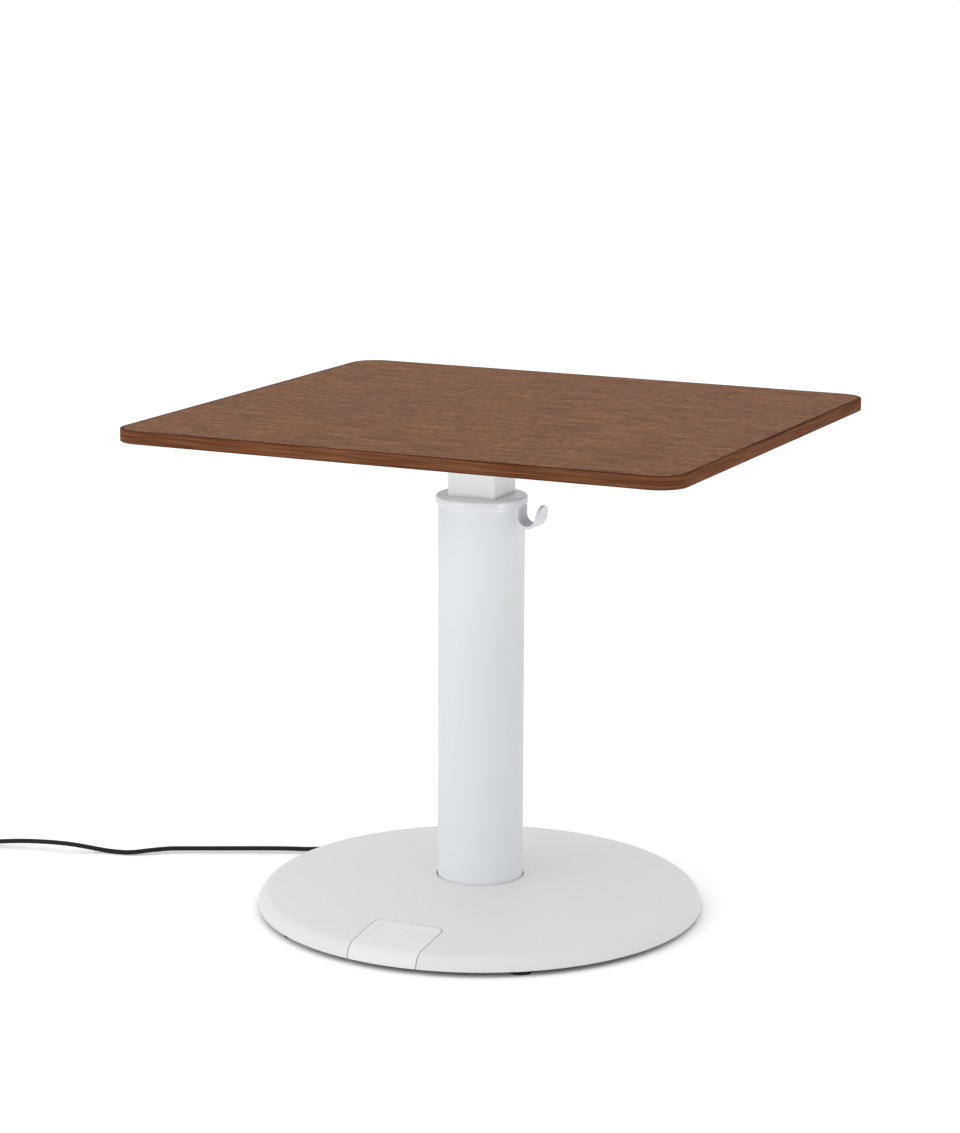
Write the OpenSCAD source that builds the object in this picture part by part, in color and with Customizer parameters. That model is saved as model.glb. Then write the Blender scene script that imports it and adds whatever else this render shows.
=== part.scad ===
// Height-adjustable pedestal desk: a veneered worktop on a square column that
// slides in a round sleeve, driven by a spindle, with a domed base and a foot pedal.
// The origin is on the floor under the middle of the desk's outline. The front is -Y.

/* [Worktop] */
// Width of the worktop, left to right
worktop_w = 845; // [760:5:1000]
// Depth of the worktop, front to back
worktop_d = 770; // [700:5:900]
// Thickness of the finished worktop
worktop_t = 18.5; // [16:0.5:28]
// Height of the top face above the floor, with the column right down
worktop_h = 720; // [705:5:760]
// Corner radius of the worktop in plan
corner_r = 41; // [20:1:80]
// Thickness of the solid lipping round the edge
lipping_t = 5; // [3:0.1:8]
// Radius that eases the lipping, top and bottom
ease_r = 1.5; // [0.5:0.1:1.8]
// Thickness of the face veneer and of the balancing laminate
veneer_t = 0.8; // [0.5:0.1:1.5]

/* [Frame under the worktop] */
// Length of a rail
rail_l = 480; // [300:5:500]
// Height of a rail
rail_h = 25; // [20:1:30]
// Width of a rail's channel
rail_w = 40; // [32:1:50]
// Width of the flange on each side of a rail
rail_flange = 18; // [14:0.5:22]
// Sheet thickness of the rails
rail_t = 2.5; // [1.5:0.1:3]
// Width of the bearer plate, left to right
bearer_w = 370; // [350:5:400]
// Distance from a rail's foot to the end of the bearer plate
bearer_over = 15; // [10:1:20]
// Depth of the bearer plate
bearer_d = 190; // [180:5:240]
// Thickness of the bearer plate
bearer_t = 5; // [4:0.5:8]
// Side of the square plate on top of the inner column
head_w = 150; // [130:1:180]
// Thickness of that plate
head_t = 6; // [4:0.5:8]

/* [Column] */
// Distance from the middle of the worktop forwards to the column's axis
column_offset = 69; // [30:1:80]
// Side of the square inner column
column_w = 73.5; // [66:0.5:74]
// Wall of the inner column
column_wall = 2.5; // [2:0.1:3]
// Corner radius of the inner column
column_r = 3; // [2.8:0.1:4]
// Outer diameter of the round sleeve
sleeve_d = 124; // [120:0.5:130]
// Wall of the sleeve
sleeve_wall = 2.5; // [2:0.1:3.5]
// Height of the worktop's top face over the collar, with the column right down
collar_drop = 108; // [100:1:116]
// Outer diameter of the collar
collar_d = 132.5; // [130:0.5:140]
// Height of the collar
collar_h = 13; // [12:0.5:16]
// Radius of the collar's edges
collar_edge = 4.5; // [2:0.1:5]
// Thickness of the collar's top over the end of the sleeve
collar_cap = 6; // [5:0.5:8]
// Gap round the inner column in the collar
collar_gap = 0.9; // [0.5:0.1:1.5]
// Height of the thin lip under the collar, round the sleeve
collar_lip_h = 3.2; // [2:0.1:5]
// Thickness of that lip
collar_lip_t = 1; // [0.8:0.1:1.4]
// Height of the top guide
top_guide_h = 36; // [24:1:50]
// Height of the bottom guide
bottom_guide_h = 40; // [24:1:50]

/* [Hook] */
// Width of the bag hook
hook_w = 34; // [24:1:44]
// Thickness of the hook's strip
hook_t = 4.5; // [3:0.1:6]
// Inner radius of the hook's trough
hook_r = 13.5; // [10:0.5:18]
// Height of the hook's back plate under the collar
hook_h = 30; // [24:1:40]
// Thickness of the back plate at its middle, where it is thinnest
hook_plate_t = 1.6; // [1.2:0.1:3]
// Height of the tip above the middle of the trough
hook_tip = 16; // [14:0.5:20]

/* [Base] */
// Diameter of the base
base_d = 646; // [620:2:700]
// Height of the crown of the dome above the floor
crown_h = 50; // [48:0.5:56]
// Radius of the rim's rounding
rim_r = 22; // [20:0.5:24]
// Gap between the floor and the rim
floor_gap = 8; // [8:0.5:12]
// Wall of the base cover
cover_wall = 3; // [2.5:0.1:3.5]
// Gap round the sleeve in the base cover
sleeve_gap = 1.8; // [0.8:0.1:2.2]
// Thickness of the steel ballast plate
plate_t = 10; // [8:0.5:12]
// Number of glides
glides = 5; // [4:1:6]
// Diameter of a glide
glide_d = 36; // [28:1:40]
// Diameter of the flange at the foot of the sleeve
flange_d = 188; // [180:1:190]
// Thickness of that flange
flange_t = 8; // [7:0.5:9]

/* [Pedal] */
// Width of the pedal
pedal_w = 104; // [90:1:120]
// Distance from the column's axis to the pedal's inner edge
pedal_in = 227; // [220:1:232]
// Radius of the pedal's inner corners
pedal_r = 12; // [6:0.5:18]
// Gap round the pedal
pedal_gap = 1.5; // [1.2:0.1:2]
// Wall of the pedal
pedal_wall = 3.5; // [3:0.1:4]
// Depth of the toe rest's step
toe_step = 1.6; // [0.8:0.1:2]
// Width of the toe rest
toe_w = 82; // [60:1:86]
// Diameter of the pedal's hinge pin
pin_d = 4; // [3:0.1:4.4]

/* [Drive] */
// Diameter of the motor
motor_d = 54; // [46:0.5:56]
// Length of the motor
motor_l = 95; // [80:1:100]
// Diameter of the gearbox
gearbox_d = 57; // [50:0.5:58]
// Length of the gearbox
gearbox_l = 50; // [40:1:52]
// Diameter of the spindle
spindle_d = 16; // [14:0.5:18]
// Outer diameter of the spindle nut
nut_d = 34; // [30:0.5:38]
// Length of the spindle nut
nut_l = 45; // [35:1:46]

/* [Power cord] */
// Diameter of the cord
cord_d = 7; // [6.5:0.1:7]
// Turns in the stored coil
coil_turns = 7.267; // [6.267:1:8.267]
// Radius of the outermost turn of the coil
coil_r = 55.5; // [55:0.1:60]
// Width of the plug
plug_w = 27; // [24:0.5:30]
// Length of the plug's body
plug_l = 36; // [30:1:42]

/* [Hidden] */
$fn = 96;

// Clearances
fixed_gap = 0.05;   // a fixed piece in its seat
run_gap = 0.06;     // a shaft in its bearing
slide_gap = 0.3;    // a sliding or turning face
plate_gap = 0.3;    // between pieces that only lie close

// The base's front may pass the worktop's: the column's axis is at -column_y and the
// worktop's middle at top_y, so that the outline's middle stays at the origin
front_over = max(0, column_offset + base_d / 2 - worktop_d / 2);
top_y = front_over / 2;
column_y = column_offset - top_y;

// Heights of the worktop and its frame
under_z = worktop_h - worktop_t;
rail_z = under_z - rail_h;
bearer_z = rail_z - bearer_t;
head_z = bearer_z - head_t;
rail_x = bearer_w / 2 - bearer_over - rail_w / 2;

// The base cover: a dome that runs tangent into the rounded rim
base_r = base_d / 2;
crown_k = crown_h - floor_gap;
rim_c = base_r - rim_r;
dome_r = (rim_c * rim_c + crown_k * crown_k - rim_r * rim_r) / (2 * (crown_k - rim_r));
dome_cz = crown_h - dome_r;
dome_fn = 1440;
function dome_z(r) = dome_cz + sqrt(dome_r * dome_r - r * r);
function rim_join(inset) = rim_c + (rim_r - inset) * rim_c / (dome_r - rim_r);

// The ballast plate, set up a little inside the rim
plate_up = 2;
plate_z = floor_gap + plate_up;
plate_top = plate_z + plate_t;
plate_margin = 10;
plate_r = base_r - cover_wall - plate_margin;
glide_inset = 25;
glide_r = base_r - glide_inset;
glide_first = -54;
glide_boss_d = 16;

// The sleeve and its flange
sleeve_r = sleeve_d / 2;
sleeve_bore = sleeve_r - sleeve_wall;
flange_top = plate_top + flange_t;
collar_top = worktop_h - collar_drop;
sleeve_top = collar_top - collar_cap;
collar_bottom = collar_top - collar_h;
lip_bottom = collar_bottom - collar_lip_h;
spigot_h = 8;
spigot_wall = 4;
hook_back = sleeve_r + hook_plate_t;
top_guide_z = sleeve_top - spigot_h - top_guide_h;
guide_seat_h = 5;
guide_seat_w = 6;

// Bolts of the flange
flange_bolts_n = 6;
flange_bolt_d = 8;
flange_bolt_r = (sleeve_d + flange_d) / 4 + 1;

// The inner column
column_foot_gap = 17;
column_foot = flange_top + column_foot_gap;
column_bore = column_w - 2 * column_wall;
bore_r = 0.5;
guide_web = 3;
guide_screw_d = 4;
guide_screw_l = 12;
guide_head_d = 8;
guide_head_h = 3.5;

// The drive, from the flange upwards
motor_plate_t = 5;
motor_plate_d = 112;
motor_z = flange_top + motor_plate_t;
gearbox_z = motor_z + motor_l;
bearing_z = gearbox_z + gearbox_l;
bearing_h = 12;
bearing_d = 40;
socket_depth = 18;
thrust_ring_z = bearing_z + bearing_h + slide_gap;
thrust_ring_h = 5;
thrust_ring_d = 24;
nut_gap = 1.7;
nut_z = thrust_ring_z + thrust_ring_h + nut_gap;
nut_flange_h = 8;
nut_flange_d = nut_d + 16;
carrier_z = nut_z + nut_flange_h;
carrier_t = 12;
stop_t = 3;
stop_d = 28;
stop_head_d = 12;
stop_head_h = 4;
stop_room = 12.5;
stop_z = head_z - stop_room - stop_head_h - stop_t;
stop_gap = 4;
lift = stop_z - stop_gap - nut_z - nut_l;
echo(lift = lift);
stop_screw_d = 6;
stop_screw_l = 16;

// Screws and bolts of the frame under the worktop
screw_d = 4.2;
screw_head_d = 9;
screw_head_h = 2.6;
screw_bite = 12;
rail_screw_y = [-rail_l / 2 + 30, 0, rail_l / 2 - 30];
rail_screw_x = rail_w / 2 + rail_flange / 2;
bolt_d = 8;
bolt_head_w = 13;
bolt_head_h = 5.3;
bolt_nut_h = 6.5;
bolt_end = 1.5;
rail_bolt_y = bearer_d / 2 - 30;
head_bolt_x = head_w / 2 - 16;

// The pedal's works
pedal_pivot = (pedal_in + base_r) / 2 + 1;
pivot_z = plate_top + 4.5;
ear_x = 36;
ear_t = 6;
ear_w = 11;
bracket_x = 28;
bracket_t = 2;
bracket_over = 1.2;
ear_under = 1.5;
bracket_w = 10;
bracket_foot = 13;
bracket_tail = 14;
bracket_screw_d = 4;
bracket_screw_head = 7;
bracket_screw_head_h = 1.6;
pin_over = 1.5;
toe_back = pedal_in + 14;
toe_front = base_r - 25;
toe_r = 7;
board_w = 14;
board_t = 1.6;
switch_w = 6;
switch_h = 3;
switch_in = pedal_in + 14;
switch_out = base_r - 25;
spring_x = 14;
spring_d = 8;
spring_wire = 0.9;
spring_turns = 4;
post_d = 6;
post_gap = 2;
skirt_gap = 2.5;
skirt_in = plate_r + 3;
notch_w = 9;
notch_h = 8;

// The base cover's bosses and ribs
boss_n = 6;
boss_r = 262;
boss_d = 10;
boss_bore = 3.4;
cover_screw_d = 3.2;
cover_screw_head = 7;
cover_screw_head_h = 2.4;
cover_screw_l = 14;
rib_n = 12;
rib_t = 2;
rib_deep = 5;
rib_in = 97;
rib_out = rim_c - 8;
well_wall = 2;
lip_h = 10;

// The control box and its cables, placed from the column's axis
box_w = 86;
box_d = 120;
box_h = 13;
box_r = 6;
box_x = -(flange_d / 2 + 4 + box_w / 2);
box_screw_d = 3;
box_ear_d = 12;
box_ear_h = 3;
motor_cable_d = 6;
motor_cable_bend = 7;
motor_cable_z = plate_top + flange_t / 2;
slot_w = 12;
slot_end = 22;
pedal_cable_d = 4;
pedal_cable_z = plate_top + pedal_cable_d / 2 + plate_gap;
pedal_cable_bend = 20;
pedal_cable_y = -(flange_d / 2 + 16);
supply_d = 6;
supply_bend = 9;

// The cord's way out, under the plate at the back on the left
inlet_x = -205;
inlet_y = 160;
inlet_z = 4.8;
inlet_l = 40;
inlet_w = 26;
inlet_floor_gap = 1;
inlet_screw_d = 3;
inlet_screw_head = 6;
inlet_screw_head_h = 1.8;
relief_l = 35;
relief_d = 9;
relief_tip = 1.2;
relief_ribs = 5;

// The cord's route, placed from the column's axis: from the tip of the strain relief, a little
// over the floor and in one low arch, to the coil
cord_points = [
  [-240, 160, 4.8], [-262, 160, 4.6], [-278, 156, 4.7], [-298, 146, 5.1],
  [-322, 130, 5.6], [-348, 114, 6], [-377, 101.5, 6.4], [-403, 89.5, 6.5],
  [-428.5, 77, 6.5], [-463, 60, 6.5], [-497.5, 43, 6.5], [-520, 32, 6.5],
  [-540, 21, 6.5], [-562, 2.5, 6], [-580, -11, 4.6], [-597, -17.5, 3.7],
  [-620, -21, 3.6], [-637, -25.5, 5.4], [-653, -33, 8.8], [-671, -41, 12.2],
  [-691, -45.5, 13.3], [-711, -48.7, 13.2], [-732, -51.5, 12.3], [-753, -55, 11.1],
  [-773, -60, 9.7], [-792, -66.5, 8.2], [-815, -76, 6.1], [-836, -87, 4.6],
  [-850, -94.5, 4.1]
];
cord_heading = 208;   // direction of the cord where it reaches the coil
cord_sides = 8;

// The coil: two layers, spiralling in and out again
coil_sides = 6;
coil_rings = 24;
coil_pitch = cord_d + 0.5;
coil_inner = coil_r - coil_pitch * coil_turns / 2;
coil_start = cord_points[len(cord_points) - 1];
coil_start_a = cord_heading - 90;
coil_end_a = coil_start_a + 360 * coil_turns;
coil_centre = coil_start + cord_d * turn_to(cord_heading) + coil_r * turn_to(cord_heading + 90);
coil_tail = 28;
plug_heading = coil_end_a + 90;
plug_start = coil_centre + [0, 0, coil_pitch] + coil_r * turn_to(coil_end_a)
  + coil_tail * turn_to(plug_heading);
plug_r = plug_start[2];
tie_t = 0.6;
tie_w = 14;
tie_gap = 0.5;
boot_l = 28;
boot_d = 13;
boot_grow = 1.5;
pin_l = 18;
blade_w = 6.3;
blade_t = 1.5;
blade_apart = 12.7;
earth_d = 4.8;
earth_l = 21;
earth_up = 7;
plug_edge = 4;

function turn_to(a) = [cos(a), sin(a), 0];
function unit(v) = v / norm(v);

// Everything on the column's axis is drawn about it and then moved
module at_column() {
  translate([0, -column_y, 0]) children();
}

// Rectangle with round corners, about the origin
module round_rect(w, d, r) {
  square([w - 2 * r, d], center = true);
  square([w, d - 2 * r], center = true);
  for (x = [-1, 1], y = [-1, 1]) {
    translate([x * (w / 2 - r), y * (d / 2 - r)]) circle(r);
  }
}

module round_plate(w, d, t, r) {
  linear_extrude(t) round_rect(w, d, r);
}

module ring(outer_r, inner_r, h) {
  difference() {
    cylinder(h = h, r = outer_r);
    translate([0, 0, -1]) cylinder(h = h + 2, r = inner_r);
  }
}

// Hexagon bolt standing on its head, with its shank upwards
module hex_bolt(d, head_w, head_h, l) {
  cylinder(h = head_h, d = head_w / cos(30), $fn = 6);
  cylinder(h = head_h + l, d = d);
}

module hex_nut(d, w, h) {
  difference() {
    cylinder(h = h, d = w / cos(30), $fn = 6);
    translate([0, 0, -1]) cylinder(h = h + 2, d = d + 2 * fixed_gap);
  }
}

// Places of things that repeat
module rail_screw_places() {
  for (side = [-1, 1], edge = [-1, 1], y = rail_screw_y) {
    translate([side * rail_x + edge * rail_screw_x, top_y + y, 0]) children();
  }
}

module rail_bolt_places() {
  for (side = [-1, 1], y = [-1, 1]) {
    translate([side * rail_x, y * rail_bolt_y - column_y, 0]) children();
  }
}

module head_bolt_places() {
  for (x = [-1, 1], y = [-1, 1]) {
    translate([x * head_bolt_x, y * head_bolt_x - column_y, 0]) children();
  }
}

module around(n, r, first = 0) {
  for (i = [0 : n - 1]) rotate([0, 0, first + i * 360 / n]) translate([r, 0, 0]) children();
}

// Worktop: core, face veneer, balancing laminate below and a solid lipping

module worktop_outline() {
  translate([0, top_y]) {
    round_rect(worktop_w - 2 * lipping_t, worktop_d - 2 * lipping_t, corner_r - lipping_t);
  }
}

module worktop_core() {
  color("tan") difference() {
    translate([0, 0, under_z + veneer_t]) {
      linear_extrude(worktop_t - 2 * veneer_t) worktop_outline();
    }
    rail_screw_places() {
      translate([0, 0, under_z - 1]) cylinder(h = screw_bite + 1, d = screw_d + 2 * fixed_gap);
    }
  }
}

module top_veneer() {
  color("saddlebrown") translate([0, 0, worktop_h - veneer_t]) {
    linear_extrude(veneer_t) worktop_outline();
  }
}

module under_laminate() {
  color("linen") difference() {
    translate([0, 0, under_z]) linear_extrude(veneer_t) worktop_outline();
    rail_screw_places() {
      translate([0, 0, under_z - 1]) cylinder(h = screw_bite, d = screw_d + 2 * fixed_gap);
    }
  }
}

// Section of the lipping: its inner face on the Y axis, its outer corners eased
module lipping_section() {
  square([lipping_t - ease_r, worktop_t]);
  translate([0, ease_r]) square([lipping_t, worktop_t - 2 * ease_r]);
  for (y = [ease_r, worktop_t - ease_r]) {
    translate([lipping_t - ease_r, y]) circle(ease_r);
  }
}

module lipping_bar(out, l) {
  translate([out - lipping_t, 0, 0]) rotate([90, 0, 0]) {
    linear_extrude(l, center = true) intersection() {
      lipping_section();
      square([lipping_t, worktop_t]);
    }
  }
}

module edge_lipping() {
  color("saddlebrown") translate([0, top_y, under_z]) {
    for (side = [0, 180]) rotate([0, 0, side]) {
      lipping_bar(worktop_w / 2, worktop_d - 2 * corner_r);
      rotate([0, 0, 90]) lipping_bar(worktop_d / 2, worktop_w - 2 * corner_r);
    }
    for (x = [-1, 1], y = [-1, 1]) {
      translate([x * (worktop_w / 2 - corner_r), y * (worktop_d / 2 - corner_r), 0]) {
        rotate([0, 0, atan2(y, x) - 45]) rotate_extrude(angle = 90) {
          translate([corner_r - lipping_t, 0]) intersection() {
            lipping_section();
            square([lipping_t, worktop_t]);
          }
        }
      }
    }
  }
}

// Frame under the worktop

// Hat section of a rail, with its flanges at the top
module rail_section() {
  w = rail_w / 2;
  f = w + rail_flange;
  polygon([
    [-f, rail_h], [-f, rail_h - rail_t], [-w, rail_h - rail_t], [-w, 0], [w, 0],
    [w, rail_h - rail_t], [f, rail_h - rail_t], [f, rail_h], [w - rail_t, rail_h],
    [w - rail_t, rail_t], [rail_t - w, rail_t], [rail_t - w, rail_h]
  ]);
}

module worktop_rails() {
  color("dimgray") difference() {
    for (side = [-1, 1]) {
      translate([side * rail_x, top_y, rail_z]) rotate([90, 0, 0]) {
        linear_extrude(rail_l, center = true) rail_section();
      }
    }
    rail_screw_places() {
      translate([0, 0, under_z - 2 * rail_t]) cylinder(h = 3 * rail_t, d = screw_d + 2 * fixed_gap);
    }
    rail_bolt_places() {
      translate([0, 0, rail_z - 1]) cylinder(h = rail_t + 2, d = bolt_d + 2 * fixed_gap);
    }
  }
}

module rail_screws() {
  color("silver") rail_screw_places() {
    translate([0, 0, under_z - rail_t - screw_head_h]) {
      cylinder(h = screw_head_h, d = screw_head_d);
      cylinder(h = screw_head_h + rail_t + screw_bite, d = screw_d);
    }
  }
}

module bearer_plate() {
  color("dimgray") difference() {
    translate([0, -column_y, bearer_z]) round_plate(bearer_w, bearer_d, bearer_t, 12);
    rail_bolt_places() {
      translate([0, 0, bearer_z - 1]) cylinder(h = bearer_t + 2, d = bolt_d + 2 * fixed_gap);
    }
    head_bolt_places() {
      translate([0, 0, bearer_z - 1]) cylinder(h = bearer_t + 2, d = bolt_d + 2 * fixed_gap);
    }
  }
}

module rail_bolts() {
  color("silver") rail_bolt_places() {
    translate([0, 0, bearer_z - bolt_head_h]) {
      hex_bolt(bolt_d, bolt_head_w, bolt_head_h, bearer_t + rail_t + bolt_nut_h + bolt_end);
    }
  }
}

module rail_nuts() {
  color("silver") rail_bolt_places() {
    translate([0, 0, rail_z + rail_t]) hex_nut(bolt_d, bolt_head_w, bolt_nut_h);
  }
}

module head_plate() {
  color("white") difference() {
    translate([0, -column_y, head_z]) round_plate(head_w, head_w, head_t, 8);
    head_bolt_places() {
      translate([0, 0, head_z - 1]) cylinder(h = head_t + 2, d = bolt_d + 2 * fixed_gap);
    }
  }
}

module head_bolts() {
  color("silver") head_bolt_places() {
    translate([0, 0, head_z - bolt_head_h]) {
      hex_bolt(bolt_d, bolt_head_w, bolt_head_h, head_t + bearer_t + bolt_nut_h + bolt_end);
    }
  }
}

module head_nuts() {
  color("silver") head_bolt_places() {
    translate([0, 0, rail_z]) hex_nut(bolt_d, bolt_head_w, bolt_nut_h);
  }
}

// Inner column and what rides in it

module inner_column() {
  color("white") at_column() difference() {
    translate([0, 0, column_foot]) {
      linear_extrude(head_z - column_foot) difference() {
        round_rect(column_w, column_w, column_r);
        round_rect(column_bore, column_bore, bore_r);
      }
    }
    for (a = [0 : 90 : 270]) rotate([0, 0, a]) {
      translate([column_bore / 2 - 1, 0, column_foot + bottom_guide_h / 2]) rotate([0, 90, 0]) {
        cylinder(h = column_wall + 2, d = guide_screw_d + 2 * fixed_gap);
      }
    }
  }
}

// Moulded shoe that slides in the sleeve, with a flute between its four pads
module bottom_guide() {
  flute_r = 18;
  flute_out = (column_w / 2 - column_r) * sqrt(2) + column_r + guide_web + flute_r;
  color("ivory") at_column() translate([0, 0, column_foot]) difference() {
    cylinder(h = bottom_guide_h, r = sleeve_bore - slide_gap);
    translate([0, 0, -1]) {
      round_plate(column_w + 2 * fixed_gap, column_w + 2 * fixed_gap, bottom_guide_h + 2,
        column_r + fixed_gap);
      around(4, flute_out, 45) cylinder(h = bottom_guide_h + 2, r = flute_r);
    }
    for (a = [0 : 90 : 270]) rotate([0, 0, a]) {
      translate([0, 0, bottom_guide_h / 2]) rotate([0, 90, 0]) {
        cylinder(h = sleeve_r, d = guide_screw_d + 2 * fixed_gap);
        translate([0, 0, column_w / 2 + guide_screw_l - guide_head_h]) {
          cylinder(h = sleeve_r, d = guide_head_d + 2 * fixed_gap);
        }
      }
    }
  }
}

module guide_screws() {
  color("silver") at_column() for (a = [0 : 90 : 270]) rotate([0, 0, a]) {
    translate([column_bore / 2, 0, column_foot + bottom_guide_h / 2]) rotate([0, 90, 0]) {
      cylinder(h = column_wall + guide_screw_l, d = guide_screw_d);
      translate([0, 0, column_wall + guide_screw_l - guide_head_h]) {
        cylinder(h = guide_head_h, d = guide_head_d);
      }
    }
  }
}

module nut_carrier() {
  side = column_bore - 2 * fixed_gap;
  color("dimgray") at_column() translate([0, 0, carrier_z]) difference() {
    round_plate(side, side, carrier_t, bore_r);
    translate([0, 0, -1]) cylinder(h = carrier_t + 2, d = nut_d + 2 * fixed_gap);
  }
}

module spindle_nut() {
  color("goldenrod") at_column() translate([0, 0, nut_z]) difference() {
    union() {
      cylinder(h = nut_l, d = nut_d);
      cylinder(h = nut_flange_h, d = nut_flange_d);
    }
    translate([0, 0, -1]) cylinder(h = nut_l + 2, d = spindle_d + 2 * run_gap);
  }
}

// Drive in the foot of the column

module spindle() {
  foot = bearing_z - socket_depth;
  color("silver") at_column() difference() {
    union() {
      translate([0, 0, foot]) cylinder(h = stop_z - foot, d = spindle_d);
      translate([0, 0, thrust_ring_z]) cylinder(h = thrust_ring_h, d = thrust_ring_d);
    }
    translate([0, 0, stop_z - stop_screw_l]) {
      cylinder(h = stop_screw_l + 1, d = stop_screw_d + 2 * fixed_gap);
    }
  }
}

module spindle_stop() {
  color("gray") at_column() translate([0, 0, stop_z]) {
    cylinder(h = stop_t, d = stop_d);
    translate([0, 0, stop_t]) cylinder(h = stop_head_h, d = stop_head_d);
    translate([0, 0, -stop_screw_l]) cylinder(h = stop_screw_l, d = stop_screw_d);
  }
}

module thrust_bearing() {
  color("gray") at_column() translate([0, 0, bearing_z]) {
    ring(bearing_d / 2, spindle_d / 2 + run_gap, bearing_h);
  }
}

module gearbox() {
  color("darkgray") at_column() translate([0, 0, gearbox_z]) difference() {
    cylinder(h = gearbox_l, d = gearbox_d);
    translate([0, 0, gearbox_l - socket_depth - 1]) {
      cylinder(h = socket_depth + 2, d = spindle_d + 2 * run_gap);
    }
  }
}

module motor() {
  color("gray") at_column() translate([0, 0, motor_z]) cylinder(h = motor_l, d = motor_d);
}

module motor_plate() {
  color("silver") at_column() translate([0, 0, flange_top]) difference() {
    cylinder(h = motor_plate_t, d = motor_plate_d);
    translate([-slot_end, 0, -1]) {
      cylinder(h = motor_plate_t + 2, d = motor_cable_d + 4);
    }
    around(4, (motor_plate_d + motor_d) / 4, 45) {
      translate([0, 0, -1]) cylinder(h = motor_plate_t + 2, d = box_screw_d + 2 * fixed_gap);
    }
  }
}

module motor_plate_screws() {
  bite = flange_t - 2;
  color("silver") at_column() translate([0, 0, flange_top]) {
    around(4, (motor_plate_d + motor_d) / 4, 45) {
      translate([0, 0, -bite]) cylinder(h = bite + motor_plate_t + 2, d = box_screw_d);
      translate([0, 0, motor_plate_t]) cylinder(h = 2, d = 2 * box_screw_d);
    }
  }
}

// Cable along X that turns up at its far end
module elbow_cable(d, from_x, to_x, bend, up_to) {
  translate([from_x, 0, 0]) rotate([0, 90, 0]) cylinder(h = to_x - bend - from_x, d = d);
  translate([to_x - bend, 0, bend]) rotate([90, 0, 0]) rotate([0, 0, -90]) {
    rotate_extrude(angle = 90) translate([bend, 0]) circle(d = d);
  }
  translate([to_x, 0, bend]) cylinder(h = up_to - bend, d = d);
}

module motor_cable() {
  color("black") at_column() translate([0, 0, motor_cable_z]) {
    elbow_cable(motor_cable_d, box_x + box_w / 2, -slot_end, motor_cable_bend,
      motor_z - motor_cable_z);
  }
}

module foot_flange() {
  color("white") at_column() difference() {
    translate([0, 0, plate_top]) cylinder(h = flange_t, d = flange_d);
    translate([-flange_d / 2 - 1, -slot_w / 2, plate_top - 1]) {
      cube([flange_d / 2 + 1 - slot_end + slot_w / 2, slot_w, flange_t + 2]);
    }
    around(flange_bolts_n, flange_bolt_r, 30) {
      translate([0, 0, plate_top - 1]) cylinder(h = flange_t + 2, d = flange_bolt_d + 2 * fixed_gap);
    }
    around(4, (motor_plate_d + motor_d) / 4, 45) {
      translate([0, 0, plate_top - 1]) cylinder(h = flange_t + 2, d = box_screw_d + 2 * fixed_gap);
    }
  }
}

module flange_bolts() {
  bite = flange_t + plate_t - 1;
  color("silver") at_column() around(flange_bolts_n, flange_bolt_r, 30) {
    translate([0, 0, flange_top]) {
      cylinder(h = bolt_head_h, d = bolt_head_w / cos(30), $fn = 6);
      translate([0, 0, -bite]) cylinder(h = bite + 1, d = flange_bolt_d);
    }
  }
}

// Sleeve, guides and collar

module outer_sleeve() {
  color("white") at_column() translate([0, 0, flange_top]) {
    ring(sleeve_r, sleeve_bore, sleeve_top - flange_top);
  }
}

module guide_seat() {
  color("silver") at_column() translate([0, 0, top_guide_z - guide_seat_h]) {
    ring(sleeve_bore - fixed_gap, sleeve_bore - guide_seat_w, guide_seat_h);
  }
}

module top_guide() {
  hole = column_w + 2 * slide_gap;
  color("ivory") at_column() translate([0, 0, top_guide_z]) difference() {
    cylinder(h = top_guide_h, r = sleeve_bore - fixed_gap);
    translate([0, 0, -1]) round_plate(hole, hole, top_guide_h + 2, column_r + slide_gap);
  }
}

// Half section of the collar without its square hole
module collar_section() {
  r = collar_d / 2;
  e = collar_edge;
  bore = sleeve_r + fixed_gap;
  difference() {
    union() {
      translate([0, lip_bottom]) square([bore + collar_lip_t, collar_lip_h + 1]);
      translate([0, collar_bottom]) square([r - e, collar_h]);
      translate([0, collar_bottom + e]) square([r, collar_h - 2 * e]);
      for (z = [collar_bottom + e, collar_top - e]) translate([r - e, z]) circle(e);
    }
    translate([-1, lip_bottom - 1]) square([bore + 1, sleeve_top - lip_bottom + 1]);
    translate([-r, lip_bottom - 1]) square([r, collar_top - lip_bottom + 2]);
  }
  translate([sleeve_bore - slide_gap - spigot_wall, sleeve_top - spigot_h]) {
    square([spigot_wall, spigot_h]);
  }
}

module collar() {
  hole = column_w + 2 * collar_gap;
  color("white") at_column() difference() {
    rotate_extrude() collar_section();
    translate([0, 0, sleeve_top - spigot_h - 1]) {
      round_plate(hole, hole, spigot_h + collar_cap + 2, column_r + collar_gap);
    }
    translate([sleeve_bore, -hook_w / 2 - fixed_gap, lip_bottom - 1]) {
      cube([collar_d, hook_w + 2 * fixed_gap, collar_lip_h + 1]);
    }
  }
}

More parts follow.
